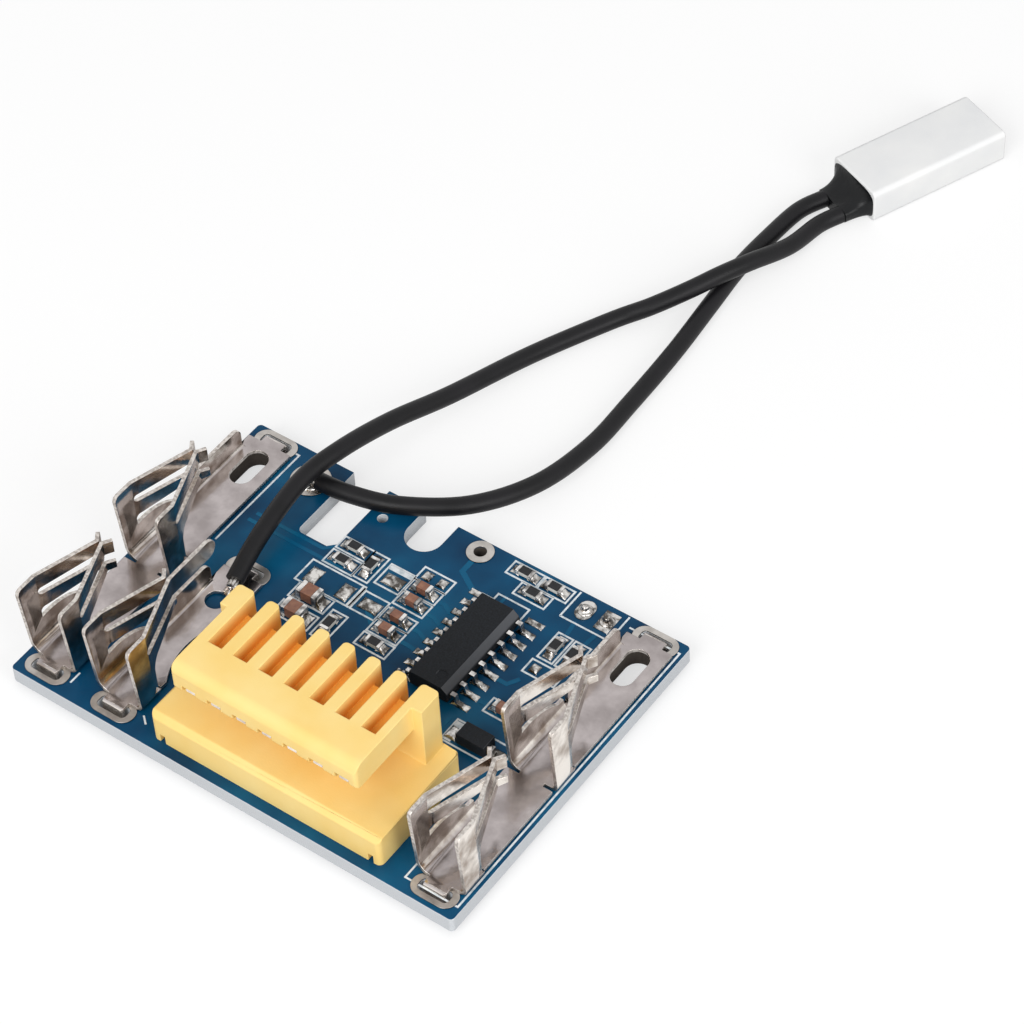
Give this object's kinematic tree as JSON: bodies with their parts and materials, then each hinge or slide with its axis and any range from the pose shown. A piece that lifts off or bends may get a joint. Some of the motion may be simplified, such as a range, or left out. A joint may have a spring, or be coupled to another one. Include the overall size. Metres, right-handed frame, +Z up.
{
  "type": "battery management board",
  "caption": "Blue circuit board with stamped blade terminals, a yellow slotted connector, surface-mount parts and a white thermal cut-out on two black leads.",
  "frame": {"origin": "centre of the board in plan, at the level of the lowest solder tails", "axes": "+X along the board's long edge, +Y towards the notched edge where the leads run off, +Z up off the component side"},
  "size_m": [0.0444, 0.0999, 0.0118],
  "materials": {
    "board_laminate": "glass-epoxy laminate under deep blue solder mask",
    "solder_tin": "bright tinned solder",
    "plated_ring": "tinned land",
    "nickel_sheet": "nickel-plated stamped strip, satin",
    "yellow_polymer": "moulded polymer, eggshell",
    "tinned_contact": "tinned contact strip",
    "chip_epoxy": "moulded epoxy, fine matte",
    "tinned_lead": "tin-plated",
    "resistor_black": "glazed black overcoat",
    "capacitor_ceramic": "fired ceramic",
    "wire_cover": "extruded insulation, soft sheen",
    "cutout_white": "moulded white polymer",
    "cutout_black": "cast epoxy resin"
  },
  "bodies": {
    "root": {"circuit_board": "board_laminate", "board_pads": "solder_tin", "ring_pads": "plated_ring", "left_power_terminal": "nickel_sheet", "right_power_terminal": "nickel_sheet", "charge_terminal": "nickel_sheet", "connector_housing": "yellow_polymer", "connector_contacts": "tinned_contact", "controller_chip": "chip_epoxy", "chip_leads": "tinned_lead", "chip_solder": "solder_tin", "diode_body": "chip_epoxy", "diode_leads": "tinned_lead", "resistor_bodies": "resistor_black", "resistor_ends": "tinned_lead", "small_capacitor_bodies": "capacitor_ceramic", "small_capacitor_ends": "tinned_lead", "large_capacitor_bodies": "capacitor_ceramic", "large_capacitor_ends": "tinned_lead", "component_solder": "solder_tin", "spare_solder": "solder_tin", "thermistor_joints": "solder_tin", "wire_joints": "solder_tin", "charge_wire": "wire_cover", "board_wire": "wire_cover", "cutout_case": "cutout_white", "cutout_resin": "cutout_black"}
  },
  "joints": []
}
